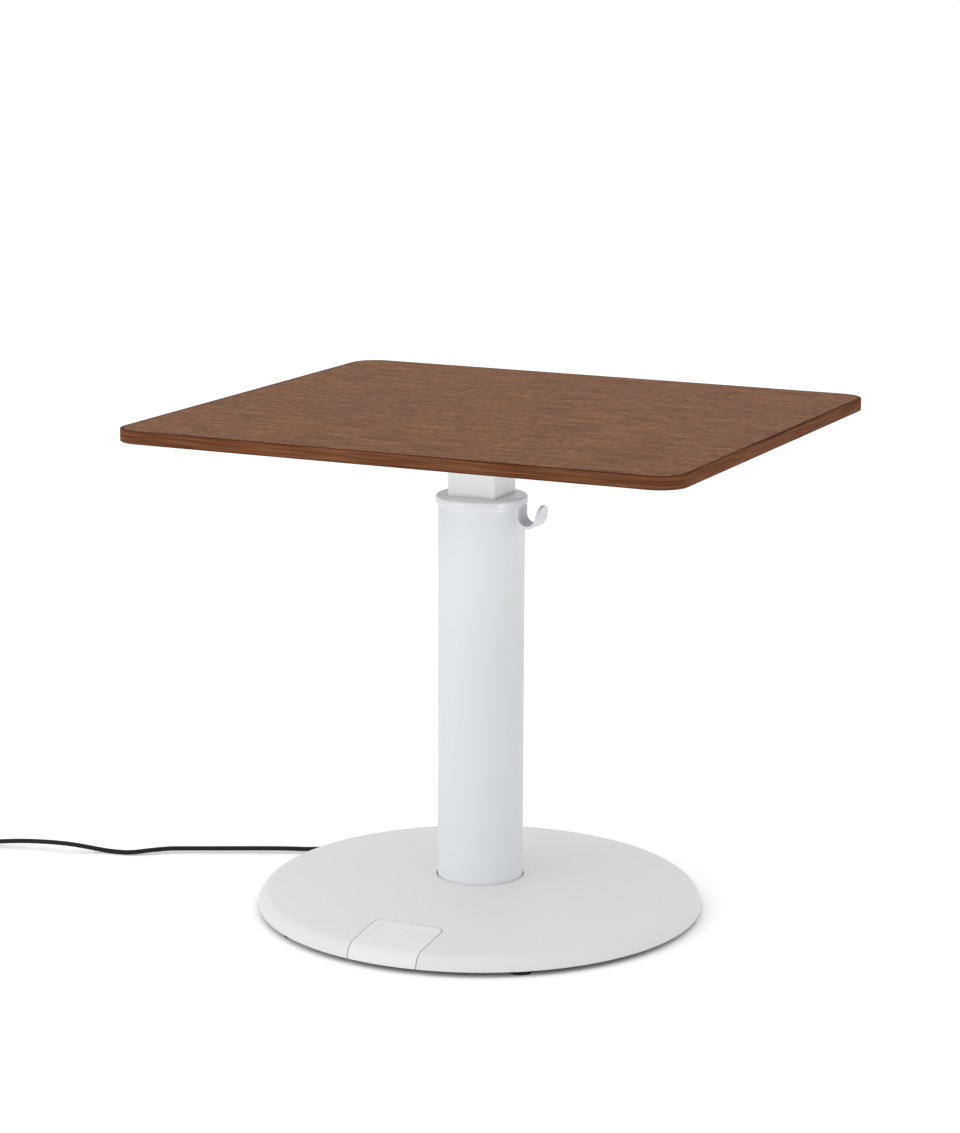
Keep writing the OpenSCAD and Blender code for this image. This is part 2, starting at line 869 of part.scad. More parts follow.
// Side view of the hook's strip: the back plate, the trough and the upturned tip
module hook_section() {
  cx = hook_back + hook_r;
  cz = collar_bottom - hook_h + hook_t + hook_r;
  foot_z = cz - hook_r - hook_t;
  lean = 12;
  difference() {
    union() {
      translate([sleeve_r - hook_t, foot_z]) square([hook_back - sleeve_r + hook_t, hook_h + collar_edge]);
      intersection() {
        translate([cx, cz]) circle(hook_r + hook_t);
        translate([sleeve_r - hook_t, foot_z]) {
          square([cx - sleeve_r + 2 * hook_t + hook_r, hook_r + hook_t]);
        }
      }
      translate([sleeve_r - hook_t, foot_z]) square([cx - sleeve_r + hook_t, hook_t + 3]);
      translate([cx + hook_r, cz]) polygon([
        [0, 0], [hook_t, 0], [hook_t + hook_tip * tan(lean), hook_tip],
        [hook_tip * tan(lean), hook_tip]
      ]);
    }
    translate([cx, cz]) circle(hook_r);
  }
}

// The back plate runs up to the collar's rounded edge and follows it
module bag_hook() {
  color("white") at_column() difference() {
    rotate([90, 0, 0]) linear_extrude(hook_w, center = true) hook_section();
    translate([0, 0, collar_bottom - hook_h - 1]) {
      cylinder(h = hook_h + collar_edge + 2, r = sleeve_r + fixed_gap);
    }
    collar_room();
    hook_tip_cut();
  }
}

// Room over the hook for the collar
module collar_room() {
  r = collar_d / 2 - collar_edge;
  translate([0, 0, collar_bottom]) rotate_extrude() {
    translate([r, collar_edge]) circle(collar_edge + fixed_gap);
    translate([0, -fixed_gap]) square([r, 2 * collar_edge]);
    translate([0, collar_edge]) square([collar_d / 2 + hook_t, collar_edge]);
  }
}

// Takes the corners off the tip, so that it ends in a half round
module hook_tip_cut() {
  round_r = hook_w / 2;
  tip_z = collar_bottom - hook_h + hook_t + hook_r + hook_tip;
  translate([hook_back + hook_r, 0, tip_z - round_r]) rotate([0, 90, 0]) difference() {
    translate([-round_r - 1, -round_r - 1, 0]) cube([round_r + 1, 2 * round_r + 2, 8 * hook_t]);
    translate([0, 0, -1]) cylinder(h = 8 * hook_t + 2, r = round_r);
  }
}

// Base

// Half section of the space under the cover's face, set in by an inset
module dome_section(inset = 0) {
  join = rim_join(inset);
  intersection() {
    translate([0, dome_cz]) circle(dome_r - inset, $fn = dome_fn);
    translate([0, floor_gap]) square([join, crown_k]);
  }
  intersection() {
    translate([rim_c, floor_gap]) circle(rim_r - inset);
    translate([join, floor_gap]) square([rim_r, rim_r]);
  }
}

module dome(inset = 0) {
  rotate_extrude() dome_section(inset);
}

// Plan of the pedal, grown by g all round
module pedal_outline(g = 0) {
  w = pedal_w / 2 + g;
  back = pedal_in - g;
  r = pedal_r + g;
  translate([-w, -base_r - 9]) square([2 * w, base_r + 9 - back - r]);
  translate([r - w, -base_r - 9]) square([2 * (w - r), base_r + 9 - back]);
  for (x = [-1, 1]) translate([x * (w - r), -back - r]) circle(r);
}

module pedal_block(g = 0, from_z = 0) {
  translate([0, 0, from_z]) linear_extrude(crown_h + 1 - from_z) pedal_outline(g);
}

// Way for the pedal's cable through the walls round the well
module cable_notch() {
  translate([-notch_w / 2, -switch_in, plate_top - 1]) {
    cube([notch_w, switch_in - pedal_in + pedal_gap + 2 * well_wall, notch_h + 1]);
  }
}

module cover_ribs() {
  lift_off = plate_top + plate_gap;
  intersection() {
    dome(cover_wall / 2);
    union() {
      for (i = [0 : rib_n - 1]) {
        a = i * 360 / rib_n;
        if (a != 270) rotate([0, 0, a]) {
          translate([rib_in, -rib_t / 2, lift_off]) cube([rib_out - rib_in, rib_t, crown_h]);
        }
      }
    }
  }
}

module base_cover() {
  lip_r = sleeve_r + sleeve_gap;
  color("white") at_column() difference() {
    union() {
      difference() {
        dome();
        dome(cover_wall);
      }
      difference() {
        cover_ribs();
        dome(cover_wall + rib_deep);
      }
      intersection() {
        dome(cover_wall / 2);
        union() {
          around(boss_n, boss_r) translate([0, 0, plate_top]) cylinder(h = crown_h, d = boss_d);
          translate([0, 0, dome_z(lip_r) - lip_h]) ring(lip_r + cover_wall, lip_r, crown_h);
          pedal_block(pedal_gap + well_wall, plate_top + plate_gap);
        }
      }
    }
    translate([0, 0, plate_top - 1]) cylinder(h = crown_h, r = lip_r);
    around(boss_n, boss_r) {
      translate([0, 0, plate_top - 1]) cylinder(h = cover_screw_l - plate_t + 2, d = boss_bore);
    }
    pedal_block(pedal_gap);
    cable_notch();
  }
}

module cover_screws() {
  color("silver") at_column() around(boss_n, boss_r) translate([0, 0, plate_z]) {
    cylinder(h = cover_screw_head_h, d = cover_screw_head);
    cylinder(h = cover_screw_l, d = cover_screw_d);
  }
}

module ballast_plate() {
  color("black") at_column() difference() {
    translate([0, 0, plate_z]) cylinder(h = plate_t, r = plate_r);
    around(flange_bolts_n, flange_bolt_r, 30) {
      translate([0, 0, plate_z - 1]) cylinder(h = plate_t + 2, d = flange_bolt_d + 2 * fixed_gap);
    }
    around(boss_n, boss_r) translate([0, 0, plate_z - 1]) {
      cylinder(h = cover_screw_head_h + 1, d = cover_screw_head + 1);
      cylinder(h = plate_t + 2, d = cover_screw_d + 2 * fixed_gap);
    }
    around(glides, glide_r, glide_first) {
      translate([0, 0, plate_z - 1]) cylinder(h = plate_t + 2, d = bolt_d + 2 * fixed_gap);
    }
    bracket_screw_places() {
      translate([0, 0, plate_z - 1]) cylinder(h = plate_t + 2, d = bracket_screw_d + 2 * fixed_gap);
    }
    translate([inlet_x + inlet_l, inlet_y, plate_z - 1]) cylinder(h = plate_t + 2, d = supply_d + 4);
    inlet_screw_places() {
      translate([0, 0, plate_z - 1]) cylinder(h = plate_t / 2 + 1, d = inlet_screw_d + 2 * fixed_gap);
    }
    box_screw_places() {
      translate([0, 0, plate_top - plate_t / 2]) {
        cylinder(h = plate_t, d = box_screw_d + 2 * fixed_gap);
      }
    }
  }
}

// Glide: a dished pad with a boss and a stem screwed up into the plate
module glide_pads() {
  pad_h = plate_z - 3.5;
  edge = 1.5;
  color("black") at_column() around(glides, glide_r, glide_first) {
    rotate_extrude() {
      difference() {
        union() {
          square([glide_d / 2 - edge, pad_h]);
          translate([0, edge]) square([glide_d / 2, pad_h - 2 * edge]);
          for (z = [edge, pad_h - edge]) translate([glide_d / 2 - edge, z]) circle(edge);
          square([glide_boss_d / 2, plate_z]);
          square([bolt_d / 2, plate_top - 1]);
        }
        translate([-glide_d, -1]) square([glide_d, plate_top + 2]);
      }
    }
  }
}

// Pedal

module pedal() {
  ear_z = pivot_z - pin_d / 2 - ear_under;
  color("white") at_column() difference() {
    union() {
      difference() {
        intersection() {
          dome();
          pedal_block();
        }
        intersection() {
          dome(pedal_wall);
          pedal_block(-pedal_wall);
        }
        cylinder(h = plate_top + skirt_gap, r = skirt_in);
        cable_notch();
      }
      intersection() {
        dome(pedal_wall / 2);
        union() {
          for (x = [-1, 1]) {
            translate([x * ear_x - ear_t / 2, -pedal_pivot - ear_w / 2, ear_z]) {
              cube([ear_t, ear_w, crown_h]);
            }
          }
          translate([0, -switch_in, plate_top + board_t + switch_h + post_gap]) {
            cylinder(h = crown_h, d = post_d);
          }
        }
      }
    }
    translate([-base_r, -pedal_pivot, pivot_z]) rotate([0, 90, 0]) {
      cylinder(h = base_d, d = pin_d + 2 * run_gap);
    }
    toe_rest();
  }
}

// Shallow toe rest: a step at the back that runs out to nothing at the front
module toe_rest() {
  step_z = dome_z(toe_back) - toe_step;
  slope = atan((step_z - dome_z(toe_front)) / (toe_front - toe_back));
  l = toe_front - toe_back;
  translate([0, -toe_back, step_z]) rotate([slope, 0, 0]) {
    translate([0, -l / 2, 0]) linear_extrude(crown_h) {
      square([toe_w - 2 * toe_r, l], center = true);
      translate([0, -toe_r / 2]) square([toe_w, l - toe_r], center = true);
      for (x = [-1, 1]) translate([x * (toe_w / 2 - toe_r), l / 2 - toe_r]) circle(toe_r);
    }
  }
}

module bracket_screw_places() {
  for (x = [-1, 1]) translate([x * (bracket_x - bracket_foot / 2),
    (bracket_w + bracket_tail) / 2 - pedal_pivot, 0]) children();
}

module pedal_pin() {
  reach = ear_x + ear_t / 2 + pin_over;
  color("silver") at_column() translate([-reach, -pedal_pivot, pivot_z]) rotate([0, 90, 0]) {
    cylinder(h = 2 * reach, d = pin_d);
  }
}

module pedal_brackets() {
  top = pivot_z + pin_d / 2 + bracket_over;
  color("silver") at_column() difference() {
    for (x = [0, 1]) mirror([x, 0, 0]) {
      translate([bracket_x - bracket_t / 2, -pedal_pivot - bracket_w / 2, plate_top]) {
        cube([bracket_t, bracket_w, top - plate_top]);
      }
      translate([bracket_x - bracket_foot, -pedal_pivot - bracket_w / 2, plate_top]) {
        cube([bracket_foot, bracket_w + bracket_tail, bracket_t]);
      }
    }
    translate([-base_r, -pedal_pivot, pivot_z]) rotate([0, 90, 0]) {
      cylinder(h = base_d, d = pin_d + 2 * fixed_gap);
    }
    bracket_screw_places() {
      translate([0, 0, plate_top - 1]) cylinder(h = bracket_t + 2, d = bracket_screw_d + 2 * fixed_gap);
    }
  }
}

module bracket_screws() {
  bite = plate_t - 1;
  color("silver") at_column() bracket_screw_places() {
    translate([0, 0, plate_top - bite]) {
      cylinder(h = bite + bracket_t, d = bracket_screw_d);
      translate([0, 0, bite + bracket_t]) cylinder(h = bracket_screw_head_h, d = bracket_screw_head);
    }
  }
}

// Compression spring on the plate, under the pedal at distance y from the axis
module pedal_spring(y) {
  r = (spring_d - spring_wire) / 2;
  from_z = plate_top + spring_wire / 2;
  to_z = dome_z(norm([y, spring_x])) - pedal_wall - spring_wire / 2 - 2 * plate_gap;
  path = [
    for (i = [0 : 8 * spring_turns])
      [spring_x, -y - column_y, from_z + (to_z - from_z) * i / (8 * spring_turns)]
        + r * turn_to(45 * i)
  ];
  color("silver") tube(path, spring_wire, 6);
}

module rear_spring() {
  pedal_spring(switch_in);
}

module front_spring() {
  pedal_spring(switch_out - 4);
}

module switch_board() {
  color("seagreen") at_column() {
    translate([-board_w / 2, -switch_out - 6, plate_top]) {
      cube([board_w, switch_out - switch_in + 12, board_t]);
    }
  }
}

module pedal_switches() {
  color("black") at_column() for (y = [switch_in, switch_out]) {
    translate([0, -y, plate_top + board_t]) {
      translate([-switch_w / 2, -switch_w / 2, 0]) cube([switch_w, switch_w, switch_h - 1]);
      cylinder(h = switch_h, d = switch_w / 2);
    }
  }
}

// Cable on the plate: back from the switch board, then left, then into the box
module pedal_cable() {
  d = pedal_cable_d;
  b = pedal_cable_bend;
  start_y = -switch_in + 6;
  color("black") at_column() translate([0, 0, pedal_cable_z]) {
    translate([0, start_y, 0]) rotate([-90, 0, 0]) {
      cylinder(h = pedal_cable_y - b - start_y, d = d);
    }
    translate([-b, pedal_cable_y - b, 0]) rotate_extrude(angle = 90) translate([b, 0]) circle(d = d);
    translate([box_x + b, pedal_cable_y, 0]) rotate([0, 90, 0]) cylinder(h = -box_x - 2 * b, d = d);
    translate([box_x + b, pedal_cable_y + b, 0]) rotate([0, 0, 180]) {
      rotate_extrude(angle = 90) translate([b, 0]) circle(d = d);
    }
    translate([box_x, pedal_cable_y + b, 0]) rotate([-90, 0, 0]) {
      cylinder(h = -box_d / 2 - pedal_cable_y - b, d = d);
    }
  }
}

// Control box on the plate, to the left of the column

module box_screw_places() {
  for (y = [-1, 1]) translate([box_x, y * (box_d / 2 + 4), 0]) {
    for (x = [-1, 1]) translate([x * (box_w / 2 - 10), 0, 0]) children();
  }
}

module control_box() {
  color("dimgray") at_column() translate([0, 0, plate_top]) difference() {
    union() {
      translate([box_x, 0, 0]) round_plate(box_w, box_d, box_h, box_r);
      box_screw_places() cylinder(h = box_ear_h, d = box_ear_d);
    }
    box_screw_places() translate([0, 0, -1]) cylinder(h = box_ear_h + 2, d = box_screw_d + 2 * fixed_gap);
    box_screw_places() translate([0, 0, box_ear_h]) cylinder(h = box_h, d = 2 * box_screw_d + 1);
  }
}

module box_screws() {
  bite = plate_t / 2 - 0.5;
  color("silver") at_column() translate([0, 0, plate_top]) box_screw_places() {
    translate([0, 0, -bite]) cylinder(h = bite + box_ear_h, d = box_screw_d);
    translate([0, 0, box_ear_h]) cylinder(h = 2, d = 2 * box_screw_d);
  }
}

// Supply cable: up through the plate, over to the box and into its back
module supply_cable() {
  hole_x = inlet_x + inlet_l;
  b = supply_bend;
  run_z = plate_top + supply_d / 2 + plate_gap + 1;
  color("black") at_column() {
    translate([hole_x, inlet_y, plate_z]) cylinder(h = run_z - b - plate_z, d = supply_d);
    translate([hole_x, inlet_y - b, run_z - b]) rotate([90, 0, 90]) {
      rotate_extrude(angle = 90) translate([b, 0]) circle(d = supply_d);
    }
    translate([hole_x, box_d / 2, run_z]) rotate([-90, 0, 0]) {
      cylinder(h = inlet_y - b - box_d / 2, d = supply_d);
    }
  }
}

// Moulded clamp under the plate that the cord comes out of

module inlet_screw_places() {
  for (y = [-1, 1]) translate([inlet_x + inlet_l / 2, inlet_y + y * (inlet_w / 2 - 5), 0]) children();
}

module inlet_block() {
  h = plate_z - inlet_floor_gap;
  color("black") at_column() difference() {
    translate([inlet_x + inlet_l / 2 + supply_d / 2, inlet_y, inlet_floor_gap]) {
      round_plate(inlet_l + supply_d, inlet_w, h, 4);
    }
    inlet_screw_places() translate([0, 0, inlet_floor_gap - 1]) {
      cylinder(h = h + 2, d = inlet_screw_d + 2 * fixed_gap);
      cylinder(h = inlet_screw_head_h + 1.5, d = inlet_screw_head + 2 * fixed_gap);
    }
  }
}

module inlet_screws() {
  color("silver") at_column() inlet_screw_places() {
    translate([0, 0, inlet_floor_gap + 0.5]) {
      cylinder(h = inlet_screw_head_h, d = inlet_screw_head);
      cylinder(h = plate_z + plate_t / 2 - inlet_floor_gap - 1, d = inlet_screw_d);
    }
  }
}

// Tapered relief with ring grooves, from the clamp to where the cord shows
module strain_relief() {
  tip_r = (cord_d + relief_tip) / 2;
  step = relief_l / (relief_ribs + 1);
  color("black") at_column() translate([inlet_x, inlet_y, inlet_z]) rotate([0, -90, 0]) {
    difference() {
      cylinder(h = relief_l, r1 = relief_d / 2, r2 = tip_r);
      for (i = [1 : relief_ribs]) translate([0, 0, i * step - step / 6]) {
        ring(relief_d, cord_d / 2, step / 3);
      }
    }
  }
}

// Cord, coil and plug

// Point at parameter t, from 0 to 1, on a smooth curve from b to c
function between(a, b, c, d, t) =
  0.5 * ((2 * b) + (c - a) * t + (2 * a - 5 * b + 4 * c - d) * t * t
    + (3 * b - a - 3 * c + d) * t * t * t);

function smooth(p, steps) = [
  for (i = [0 : len(p) - 2], s = [0 : steps - 1])
    between(p[max(i - 1, 0)], p[i], p[i + 1], p[min(i + 2, len(p) - 1)], s / steps),
  p[len(p) - 1]
];

function way(p, i) = unit(p[min(i + 1, len(p) - 1)] - p[max(i - 1, 0)]);

// One ring of a tube, about point c and square to direction t
function tube_ring(c, t, r, sides) =
  let (across = unit(cross(t, [0, 0, 1])), up = cross(across, t))
  [for (j = [0 : sides - 1]) c + r * (cos(360 * (j + 0.5) / sides) * across
    + sin(360 * (j + 0.5) / sides) * up)];

// Closed tube of diameter d along the points p
module tube(p, d, sides) {
  n = len(p);
  rings = [for (i = [0 : n - 1]) each tube_ring(p[i], way(p, i), d / 2, sides)];
  walls = [
    for (i = [0 : n - 2], j = [0 : sides - 1])
      let (a = i * sides + j, b = i * sides + (j + 1) % sides)
      each [[a, a + sides, b], [b, a + sides, b + sides]]
  ];
  first_cap = [for (j = [1 : sides - 2]) [0, j, j + 1]];
  last = (n - 1) * sides;
  last_cap = [for (j = [1 : sides - 2]) [last, last + j + 1, last + j]];
  polyhedron(points = rings, faces = concat(walls, first_cap, last_cap), convexity = 8);
}

cord_path = smooth(cord_points, 2);

// The coil at t turns from its start: in along the floor, up a layer, out again
function coil_radius(t) = coil_inner + coil_pitch * abs(t - coil_turns / 2);
function coil_layer(t) = max(0, min(1, 2 * (t - coil_turns / 2) + 0.5));
function coil_point(t) =
  coil_centre + coil_radius(t) * turn_to(coil_start_a + 360 * t)
    + [0, 0, coil_pitch * coil_layer(t)];

coil_steps = ceil(coil_turns * coil_rings);
coil_path = [
  coil_start,
  for (i = [0 : coil_steps]) coil_point(coil_turns * i / coil_steps),
  plug_start - cord_d * turn_to(plug_heading),
  plug_start
];

// Least distance between the coil's surface and itself, and the cord's length
function path_length(p) = [for (i = [0 : len(p) - 2]) norm(p[i + 1] - p[i])] * [
  for (i = [0 : len(p) - 2]) 1
];
coil_self_gap = min([
  for (i = [0 : len(coil_path) - 1], j = [i + coil_rings / 2 : 1 : len(coil_path) - 1])
    norm(coil_path[i] - coil_path[j])
]) - cord_d;
echo(coil_self_gap = coil_self_gap, coil_inner_radius = coil_inner);
echo(cord_length = path_length(cord_path) + path_length(coil_path));

module power_cord() {
  color("black") at_column() tube(cord_path, cord_d, cord_sides);
}

module cord_coil() {
  color("black") at_column() tube(coil_path, cord_d, coil_sides);
}

// Strap round the turns, halfway between the coil's two ends
module cord_tie() {
  part_turn = coil_turns - floor(coil_turns);
  out = coil_r - coil_pitch * part_turn / 2 + cord_d / 2;
  innermost = coil_inner + coil_pitch / 2 - cord_d / 2;
  in = sqrt(innermost * innermost - tie_w * tie_w / 4);
  top = coil_centre[2] + coil_pitch + cord_d / 2;
  w = out - in + 2 * tie_gap;
  h = top + plate_gap;
  color("dimgray") at_column() translate([coil_centre[0], coil_centre[1], 0]) {
    rotate([0, 0, coil_start_a + 180 * part_turn]) {
      translate([(in + out) / 2, tie_w / 2, (h + tie_t) / 2]) rotate([90, 0, 0]) {
        linear_extrude(tie_w) difference() {
          round_rect(w + 2 * tie_t, h + tie_t, cord_d / 2 + tie_t);
          round_rect(w, h - tie_t, cord_d / 2);
        }
      }
    }
  }
}

// Draws along +X from the end of the cord, in the plug's direction
module at_plug() {
  at_column() translate(plug_start) rotate([0, 0, plug_heading]) children();
}

module plug_body() {
  color("black") at_plug() {
    rotate([0, 90, 0]) cylinder(h = boot_l, d1 = cord_d + 2 * boot_grow, d2 = boot_d);
    translate([boot_l, 0, 0]) rotate([0, 90, 0]) difference() {
      round_plate(2 * plug_r, plug_w, plug_l, plug_edge);
      blade_places(plug_l - 4) cube([blade_w + 2 * fixed_gap, blade_t + 2 * fixed_gap, 10], center = true);
      translate([earth_up, 0, plug_l - 9]) cylinder(h = 10, d = earth_d + 2 * fixed_gap);
    }
  }
}

module blade_places(z) {
  for (y = [-1, 1]) translate([-4, y * blade_apart / 2, z + 4]) children();
}

module plug_pins() {
  color("goldenrod") at_plug() translate([boot_l, 0, 0]) rotate([0, 90, 0]) {
    blade_places(plug_l - 4) translate([0, 0, pin_l / 2 - 4]) {
      cube([blade_w, blade_t, pin_l], center = true);
    }
    translate([earth_up, 0, plug_l - 8]) cylinder(h = earth_l + 8 - 4, d = earth_d);
  }
}

worktop_core();
top_veneer();
under_laminate();
edge_lipping();
worktop_rails();
rail_screws();
bearer_plate();
rail_bolts();
rail_nuts();
head_plate();
head_bolts();
head_nuts();
inner_column();
bottom_guide();
guide_screws();
nut_carrier();
spindle_nut();
spindle();
spindle_stop();
thrust_bearing();
gearbox();
motor();
motor_plate();
motor_plate_screws();
motor_cable();
foot_flange();
flange_bolts();
outer_sleeve();
guide_seat();
top_guide();
collar();
bag_hook();
ballast_plate();
glide_pads();
base_cover();
cover_screws();
pedal();
pedal_pin();
pedal_brackets();
bracket_screws();
rear_spring();
front_spring();
switch_board();
pedal_switches();
pedal_cable();
control_box();
box_screws();
supply_cable();
inlet_block();
inlet_screws();
strain_relief();
power_cord();
cord_coil();
cord_tie();
plug_body();
plug_pins();
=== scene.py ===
"""Finishes, cord, floor, light and camera for a height-adjustable pedestal desk."""

import math

import bpy
from mathutils import Matrix, Vector


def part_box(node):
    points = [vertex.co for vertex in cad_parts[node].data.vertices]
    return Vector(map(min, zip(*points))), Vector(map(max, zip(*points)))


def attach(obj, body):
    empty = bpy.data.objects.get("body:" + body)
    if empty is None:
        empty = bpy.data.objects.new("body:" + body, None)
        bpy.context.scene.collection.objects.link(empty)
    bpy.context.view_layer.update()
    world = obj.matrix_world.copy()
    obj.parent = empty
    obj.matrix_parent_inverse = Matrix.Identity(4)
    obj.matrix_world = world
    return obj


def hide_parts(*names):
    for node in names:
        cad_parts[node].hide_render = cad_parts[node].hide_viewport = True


bl_info = {
    "name": "Pedestal desk dresser",
    "version": (1, 0, 0),
    "blender": (4, 5, 0),
    "location": "3D View > Sidebar > Desk",
    "description": "Gives a height-adjustable pedestal desk its finishes, cord, floor, light and camera",
    "category": "Object",
}

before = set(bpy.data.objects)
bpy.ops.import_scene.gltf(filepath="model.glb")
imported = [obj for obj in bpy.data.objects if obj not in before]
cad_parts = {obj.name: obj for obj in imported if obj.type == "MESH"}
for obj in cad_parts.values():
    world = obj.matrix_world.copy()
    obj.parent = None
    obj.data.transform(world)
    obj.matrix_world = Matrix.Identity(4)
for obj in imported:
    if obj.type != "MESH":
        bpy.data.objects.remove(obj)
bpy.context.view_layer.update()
MM = 0.001

# The column's axis, from the round sleeve that stands on it
SLEEVE_LOW, SLEEVE_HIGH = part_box("outer_sleeve")
AXIS = (SLEEVE_LOW + SLEEVE_HIGH) / 2


# Colours and nodes

def srgb(text):
    """Linear red, green, blue and alpha of a colour written as #RRGGBB."""
    parts = [int(text[i:i + 2], 16) / 255 for i in (1, 3, 5)]
    return [c / 12.92 if c <= 0.04045 else ((c + 0.055) / 1.055) ** 2.4 for c in parts] + [1.0]


def add_node(tree, kind, inputs=None, stops=(), **settings):
    """Adds a node, gives it its settings and two colour stops, and fills or links its inputs."""
    node = tree.nodes.new(kind)
    for name, value in settings.items():
        setattr(node, name, value)
    if stops:
        for element, (position, colour) in zip(node.color_ramp.elements, stops):
            element.position = position
            element.color = colour
    for socket, value in (inputs or {}).items():
        if isinstance(value, bpy.types.NodeSocket):
            tree.links.new(value, node.inputs[socket])
        else:
            node.inputs[socket].default_value = value
    return node


def new_material(name, **values):
    """Material with one Principled shader; values are its uniform sockets."""
    material = bpy.data.materials.new(name)
    material.use_nodes = True
    shader = material.node_tree.nodes["Principled BSDF"]
    for socket, value in values.items():
        shader.inputs[socket.replace("_", " ")].default_value = value
    return material, material.node_tree, shader


def grain_space(tree, size_mm):
    """Object coordinates in which one unit is the given millimetres along X, Y and Z."""
    where = add_node(tree, "ShaderNodeTexCoord").outputs["Object"]
    scale = [1 / (mm * MM) for mm in size_mm]
    return add_node(tree, "ShaderNodeMapping", {"Vector": where, "Scale": scale}).outputs["Vector"]


def grain(tree, size_mm, detail=2.0, roughness=0.5):
    """Noise whose features have the given sizes in millimetres along X, Y and Z."""
    return add_node(tree, "ShaderNodeTexNoise", {
        "Vector": grain_space(tree, size_mm), "Scale": 1.0, "Detail": detail,
        "Roughness": roughness,
    }).outputs["Fac"]


def stained(tree, tone, *stains):
    """Tone darkened by each stain in turn, as coats that lie over each other."""
    for stain in stains:
        tone = add_node(tree, "ShaderNodeMix", {"Factor": 1.0, "A": tone, "B": stain},
                        data_type="RGBA", blend_type="MULTIPLY").outputs["Result"]
    return tone


def emboss(tree, shader, height, depth_mm, strength=1.0):
    """Lays a pattern that runs from 0 to 1 on a surface, as relief of the given depth."""
    bump = add_node(tree, "ShaderNodeBump", {
        "Height": height, "Distance": depth_mm * MM, "Strength": strength,
    })
    tree.links.new(bump.outputs["Normal"], shader.inputs["Normal"])


def dress(material, *nodes):
    """Gives CAD nodes a material in place of their plain one."""
    for name in nodes:
        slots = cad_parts[name].data.materials
        slots.clear()
        slots.append(material)


# Finishes

WHITE = srgb("#FFFFFF")


def walnut_veneer():
    """Sliced walnut under a thin matt lacquer: open grain in short dashes along X."""
    wood = bpy.context.scene.desk_wood
    # The lacquer is so thin and matt that it hardly shines, even seen from low down
    material, tree, shader = new_material("walnut_veneer", Roughness=0.6, IOR=1.5,
                                          Specular_IOR_Level=0.06)
    # The tone drifts across the board, with figure of a finger's length over it
    drift = grain(tree, (620, 60, 60), detail=3)
    board = add_node(tree, "ShaderNodeMix", {
        "Factor": drift, "A": wood.veneer_dark, "B": wood.veneer_light,
    }, data_type="RGBA").outputs["Result"]
    streak = grain(tree, (90, 5, 5), detail=3, roughness=0.7)
    streaks = add_node(tree, "ShaderNodeValToRGB", {"Fac": streak},
                       stops=[(0.38, srgb("#BBA48E")), (0.58, WHITE)]).outputs["Color"]
    # Real vessels are 0.3 mm wide: drawn coarser here, so that they show from a step away
    vessel = grain(tree, (12, 2, 2), detail=2, roughness=0.6)
    dashes = add_node(tree, "ShaderNodeValToRGB", {"Fac": vessel},
                      stops=[(0.36, srgb("#AA8F79")), (0.6, WHITE)]).outputs["Color"]
    tree.links.new(stained(tree, board, streaks, dashes), shader.inputs["Base Color"])
    emboss(tree, shader, vessel, depth_mm=0.12, strength=0.3)
    return material


def walnut_lipping():
    """Solid walnut edge: redder than the veneer, its grain along each edge, and darkened where its faces
    look up or down: a dark joint against the veneer on top, painted shade on the lower arris.
    """
    wood = bpy.context.scene.desk_wood
    material, tree, shader = new_material("walnut_lipping", Roughness=0.6, IOR=1.5,
                                          Specular_IOR_Level=0.02)
    streak = grain(tree, (220, 220, 2.6), detail=2, roughness=0.6)
    board = add_node(tree, "ShaderNodeValToRGB", {"Fac": streak},
                     stops=[(0.3, wood.lipping_dark), (0.7, wood.lipping_light)]).outputs["Color"]
    # Real pores are a third of this width: drawn coarser here, so that they show
    pore = grain(tree, (90, 90, 1.5), detail=2)
    pores = add_node(tree, "ShaderNodeValToRGB", {"Fac": pore},
                     stops=[(0.36, srgb("#C4B3A6")), (0.62, WHITE)]).outputs["Color"]
    # Faces that look up or down are darkened: on top this stands for the dark joint against the veneer,
    # underneath it is painted shade on the lower arris
    normal = add_node(tree, "ShaderNodeNewGeometry").outputs["Normal"]
    facing = add_node(tree, "ShaderNodeSeparateXYZ", {"Vector": normal}).outputs["Z"]
    slant = add_node(tree, "ShaderNodeMath", {0: facing}, operation="ABSOLUTE").outputs["Value"]
    # The darker stop is a dark joint on top and painted shade on the downward faces
    joint_and_shade = add_node(tree, "ShaderNodeValToRGB", {"Fac": slant},
                     stops=[(0.3, WHITE), (0.7, srgb("#AA9080"))]).outputs["Color"]
    tree.links.new(stained(tree, board, pores, joint_and_shade), shader.inputs["Base Color"])
    emboss(tree, shader, pore, depth_mm=0.1, strength=0.3)
    return material


def balancing_laminate():
    """White balancing laminate under the worktop: matt, with a faint pressed grain."""
    material, tree, shader = new_material("balancing_laminate", Base_Color=srgb("#F2F1EE"),
                                          Roughness=0.6)
    emboss(tree, shader, grain(tree, (2, 2, 2), detail=1), depth_mm=0.03)
    return material


def chipboard():
    """Raw particle board: pressed chips of a few millimetres, matt and pale."""
    material, tree, shader = new_material("chipboard", Roughness=0.85)
    chips = add_node(tree, "ShaderNodeTexVoronoi", {
        "Vector": grain_space(tree, (3.5, 3.5, 1.6)), "Scale": 1.0,
    })
    tone = add_node(tree, "ShaderNodeValToRGB", {"Fac": chips.outputs["Color"]},
                    stops=[(0.0, srgb("#8C6B45")), (1.0, srgb("#C7A878"))])
    tree.links.new(tone.outputs["Color"], shader.inputs["Base Color"])
    emboss(tree, shader, chips.outputs["Distance"], depth_mm=0.3)
    return material


def powder_coat(name, colour, roughness=0.5):
    """Sprayed and baked polyester powder: satin, with a slight orange peel."""
    material, tree, shader = new_material(name, Base_Color=colour, Roughness=roughness, IOR=1.5,
                                          Specular_IOR_Level=0.2)
    # The peel is 1.2 mm from crest to crest
    emboss(tree, shader, grain(tree, (1.2, 1.2, 1.2), detail=1), depth_mm=0.02, strength=0.5)
    return material


